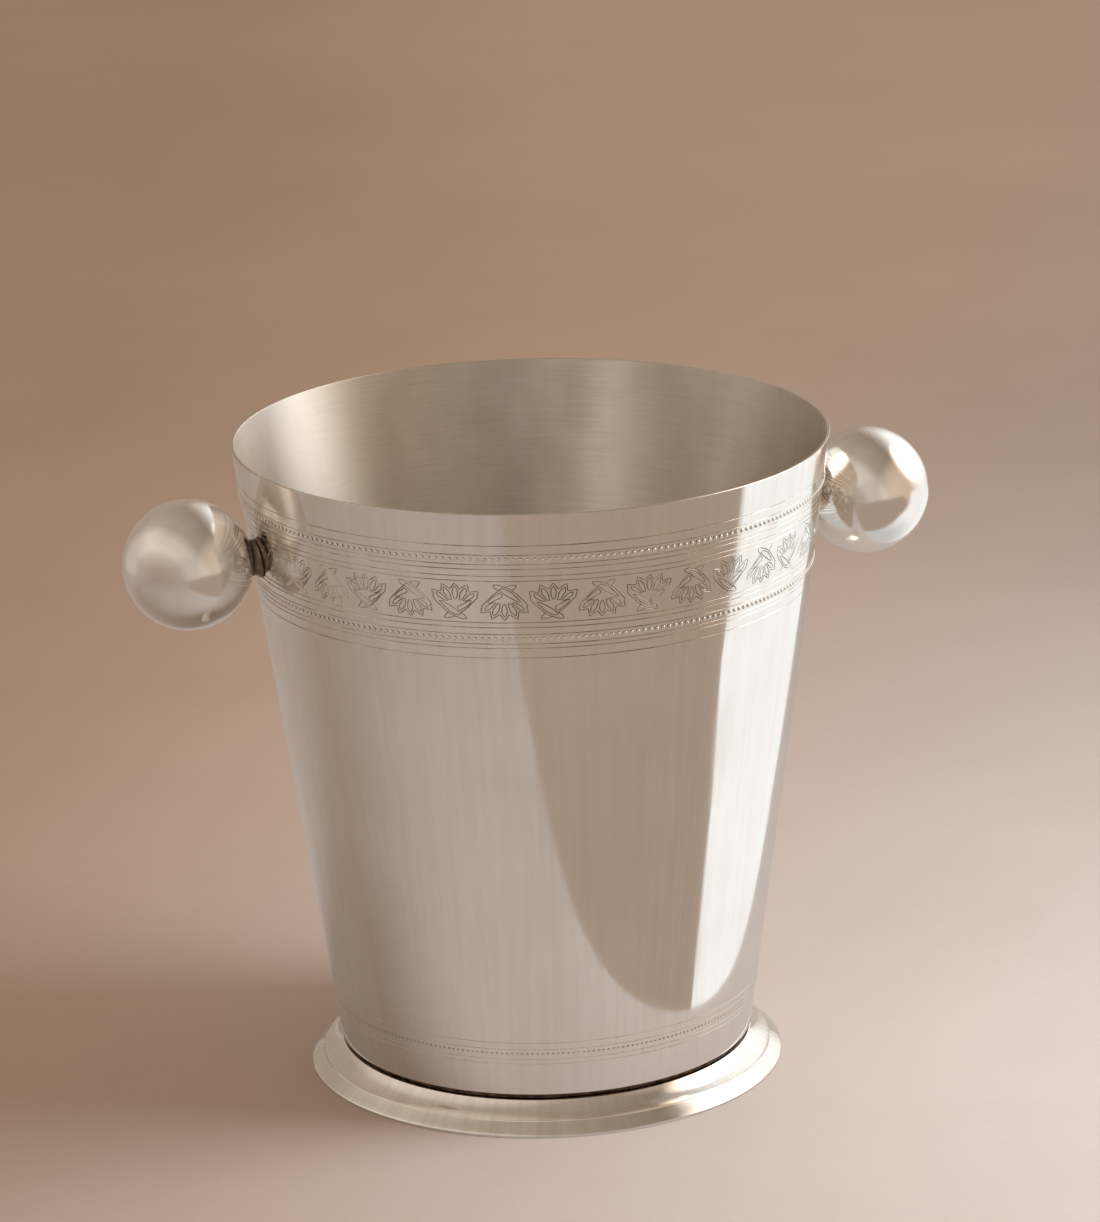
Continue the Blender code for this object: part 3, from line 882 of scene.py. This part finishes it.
def make_studio():
    nothing_selected()
    bpy.ops.mesh.primitive_plane_add(size=24.0, location=(0.0, 0.0, 0.0))
    ground = bpy.context.object
    ground.name = "studio_floor"
    # The floor's colour carries painted light and shade: darker and warmer to the left, cooler to the
    # front right.
    ground.data.materials.append(plaster("plaster_floor_painted_light_and_shade", "C2A690", "C5B9B0", 0.80))
    ground.visible_glossy = False
    # The metal sees the floor only as far as a bench goes, fading into soft room light.
    nothing_selected()
    bpy.ops.mesh.primitive_circle_add(vertices=96, radius=1.3, fill_type="NGON",
                                      location=(0.0, 0.0, 0.1 * MM))
    bench = bpy.context.object
    bench.name = "bench_seen_in_metal"
    # The bench is painted lighter to the left, as painted light.
    finish = plaster("plaster_bench_painted_light", "B6ABA3", "B6ABA3", 1.1)
    fade_away(finish, 0.5, 1.25)
    bench.data.materials.append(finish)
    bench.visible_camera = False
    bench.visible_diffuse = False
    bench.visible_shadow = False
    # The bench ends beside the bucket: past its edge the metal sees a deeper tone, and then a
    # white sheet lying in the light.
    lower = glow("bench_side_in_shade", "AC998A", 1.0)
    white = glow("white_sheet_in_light", "F9F9F9", 1.10, 0.66)
    height = 0.5 * MM
    sheet_edge = (
        (0.090, -0.092, height),
        (0.241, -0.142, height),
        (0.348, -0.189, height),
        (0.443, -0.204, height),
        (0.640, -0.240, height),
    )
    reflected_card("bench_side", (
        (-0.265, -0.475, height),
        *sheet_edge,
        (1.700, -1.300, height),
        (0.300, -1.900, height),
        (-0.300, -0.900, height),
    ), lower)
    reflected_card("white_sheet", (
        *sheet_edge,
        (2.400, -0.900, height),
        (2.600, 1.200, height),
        (0.560, 0.520, height),
        (0.430, 0.310, height),
        (0.268, 0.105, height),
    ), white)
    lamp = softbox("window_near", (0.85, -0.35, 0.62), (0.1, -0.1, 0.0), (0.6, 0.6), 4.9, "E2EEFF")
    lamp.data.spread = math.radians(100.0)
    lamp.visible_glossy = False
    make_air()


def make_air():
    """The air all round: one even light for the plaster, and the room's own tones for the metal."""
    world = bpy.data.worlds.new("studio_air")
    world.use_nodes = True
    tree = world.node_tree
    sky = tree.nodes["Background"]
    way = add(tree, "ShaderNodeTexCoord").outputs["Generated"]

    def facing(turn, lift):
        """How nearly a direction faces one given by its turn from the front and its lift."""
        level = math.cos(math.radians(lift))
        side = math.radians(turn)
        aim = (math.sin(side) * level, -math.cos(side) * level, math.sin(math.radians(lift)))
        return add(tree, "ShaderNodeVectorMath", {"operation": "DOT_PRODUCT", 1: aim},
                   {0: way}).outputs["Value"]

    def tones(source, *stops):
        made = add(tree, "ShaderNodeValToRGB", links={"Fac": source})
        while len(made.color_ramp.elements) < len(stops):
            made.color_ramp.elements.new(0.5)
        for stop, (place, hex_code) in zip(made.color_ramp.elements, stops):
            stop.position = place
            stop.color = hue(hex_code)
        return made.outputs["Color"]

    # The plaster takes an even light that comes mostly from the right.
    window = ramp(tree, facing(114.0, 20.0), -1.0, 1.0, 0.0, 1.0)
    light = tones(window, (0.0, "A4907F"), (0.20, "B19D8F"), (0.27, "C3B3A5"), (0.60, "D2C4B8"),
                  (0.78, "DFD5CB"), (0.92, "F2ECE6"), (1.0, "FFFEFC"))
    # The metal shows the room itself: brown behind, paler in front, and white on the right.
    room = tones(window, (0.0, "A8968A"), (0.15, "BBACA0"), (0.22, "CCBFB4"), (0.40, "C8BBB0"),
                 (0.52, "AE9E90"), (0.84, "A99787"), (0.90, "D8CDC3"), (0.95, "FFFEFC"))
    height = add(tree, "ShaderNodeSeparateXYZ", links={0: way}).outputs["Z"]
    # In that room the ceiling is dim, and there are four soft lights: a veil round the window, the
    # window's own middle, a bounce high on the left, and a pale front.
    ceiling = ramp(tree, height, 0.55, 0.95, 1.0, 0.62)
    veil = ramp(tree, window, 0.90, 0.98, 0.0, 0.25)
    middle = ramp(tree, facing(88.0, 30.0), 0.90, 0.985, 0.0, 3.3)
    bounce = ramp(tree, facing(-83.0, 60.0), 0.50, 0.92, 0.0, 0.40)
    front = ramp(tree, facing(50.0, 5.0), 0.66, 0.96, 0.0, 0.65)
    lit = add(tree, "ShaderNodeMath", {"operation": "ADD"}, {0: veil, 1: middle}).outputs[0]
    soft = add(tree, "ShaderNodeMath", {"operation": "ADD"}, {0: bounce, 1: front}).outputs[0]
    lamps = add(tree, "ShaderNodeMath", {"operation": "ADD"}, {0: lit, 1: soft}).outputs[0]
    level = add(tree, "ShaderNodeMath", {"operation": "ADD"}, {0: ceiling, 1: lamps}).outputs[0]
    rays = add(tree, "ShaderNodeLightPath").outputs
    in_metal = add(tree, "ShaderNodeMix", {"data_type": "RGBA"},
                   {0: rays["Is Glossy Ray"], 6: light, 7: room}).outputs[2]
    shown = add(tree, "ShaderNodeMix", {"data_type": "RGBA", 7: hue("B49A84")},
                {0: rays["Is Camera Ray"], 6: in_metal}).outputs[2]
    tree.links.new(shown, sky.inputs["Color"])
    steady = add(tree, "ShaderNodeMix", {"data_type": "FLOAT", 2: 1.0},
                 {0: rays["Is Glossy Ray"], 3: level}).outputs[0]
    tree.links.new(steady, sky.inputs["Strength"])
    bpy.context.scene.world = world
    bpy.context.scene.view_settings.view_transform = "Standard"


# ---- everything -----------------------------------------------------------------------------
make_camera()
make_studio()
make_body()
make_floor_disc()
make_foot()
make_seat()
make_handles()
for node_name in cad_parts:
    if node_name.startswith(("saddle_washer_", "ball_boss_", "ball_screw_")):
        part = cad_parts[node_name]
        part.data.materials.clear()
        part.data.materials.append(BRASS if "boss" in node_name else SCREW_SILVER)
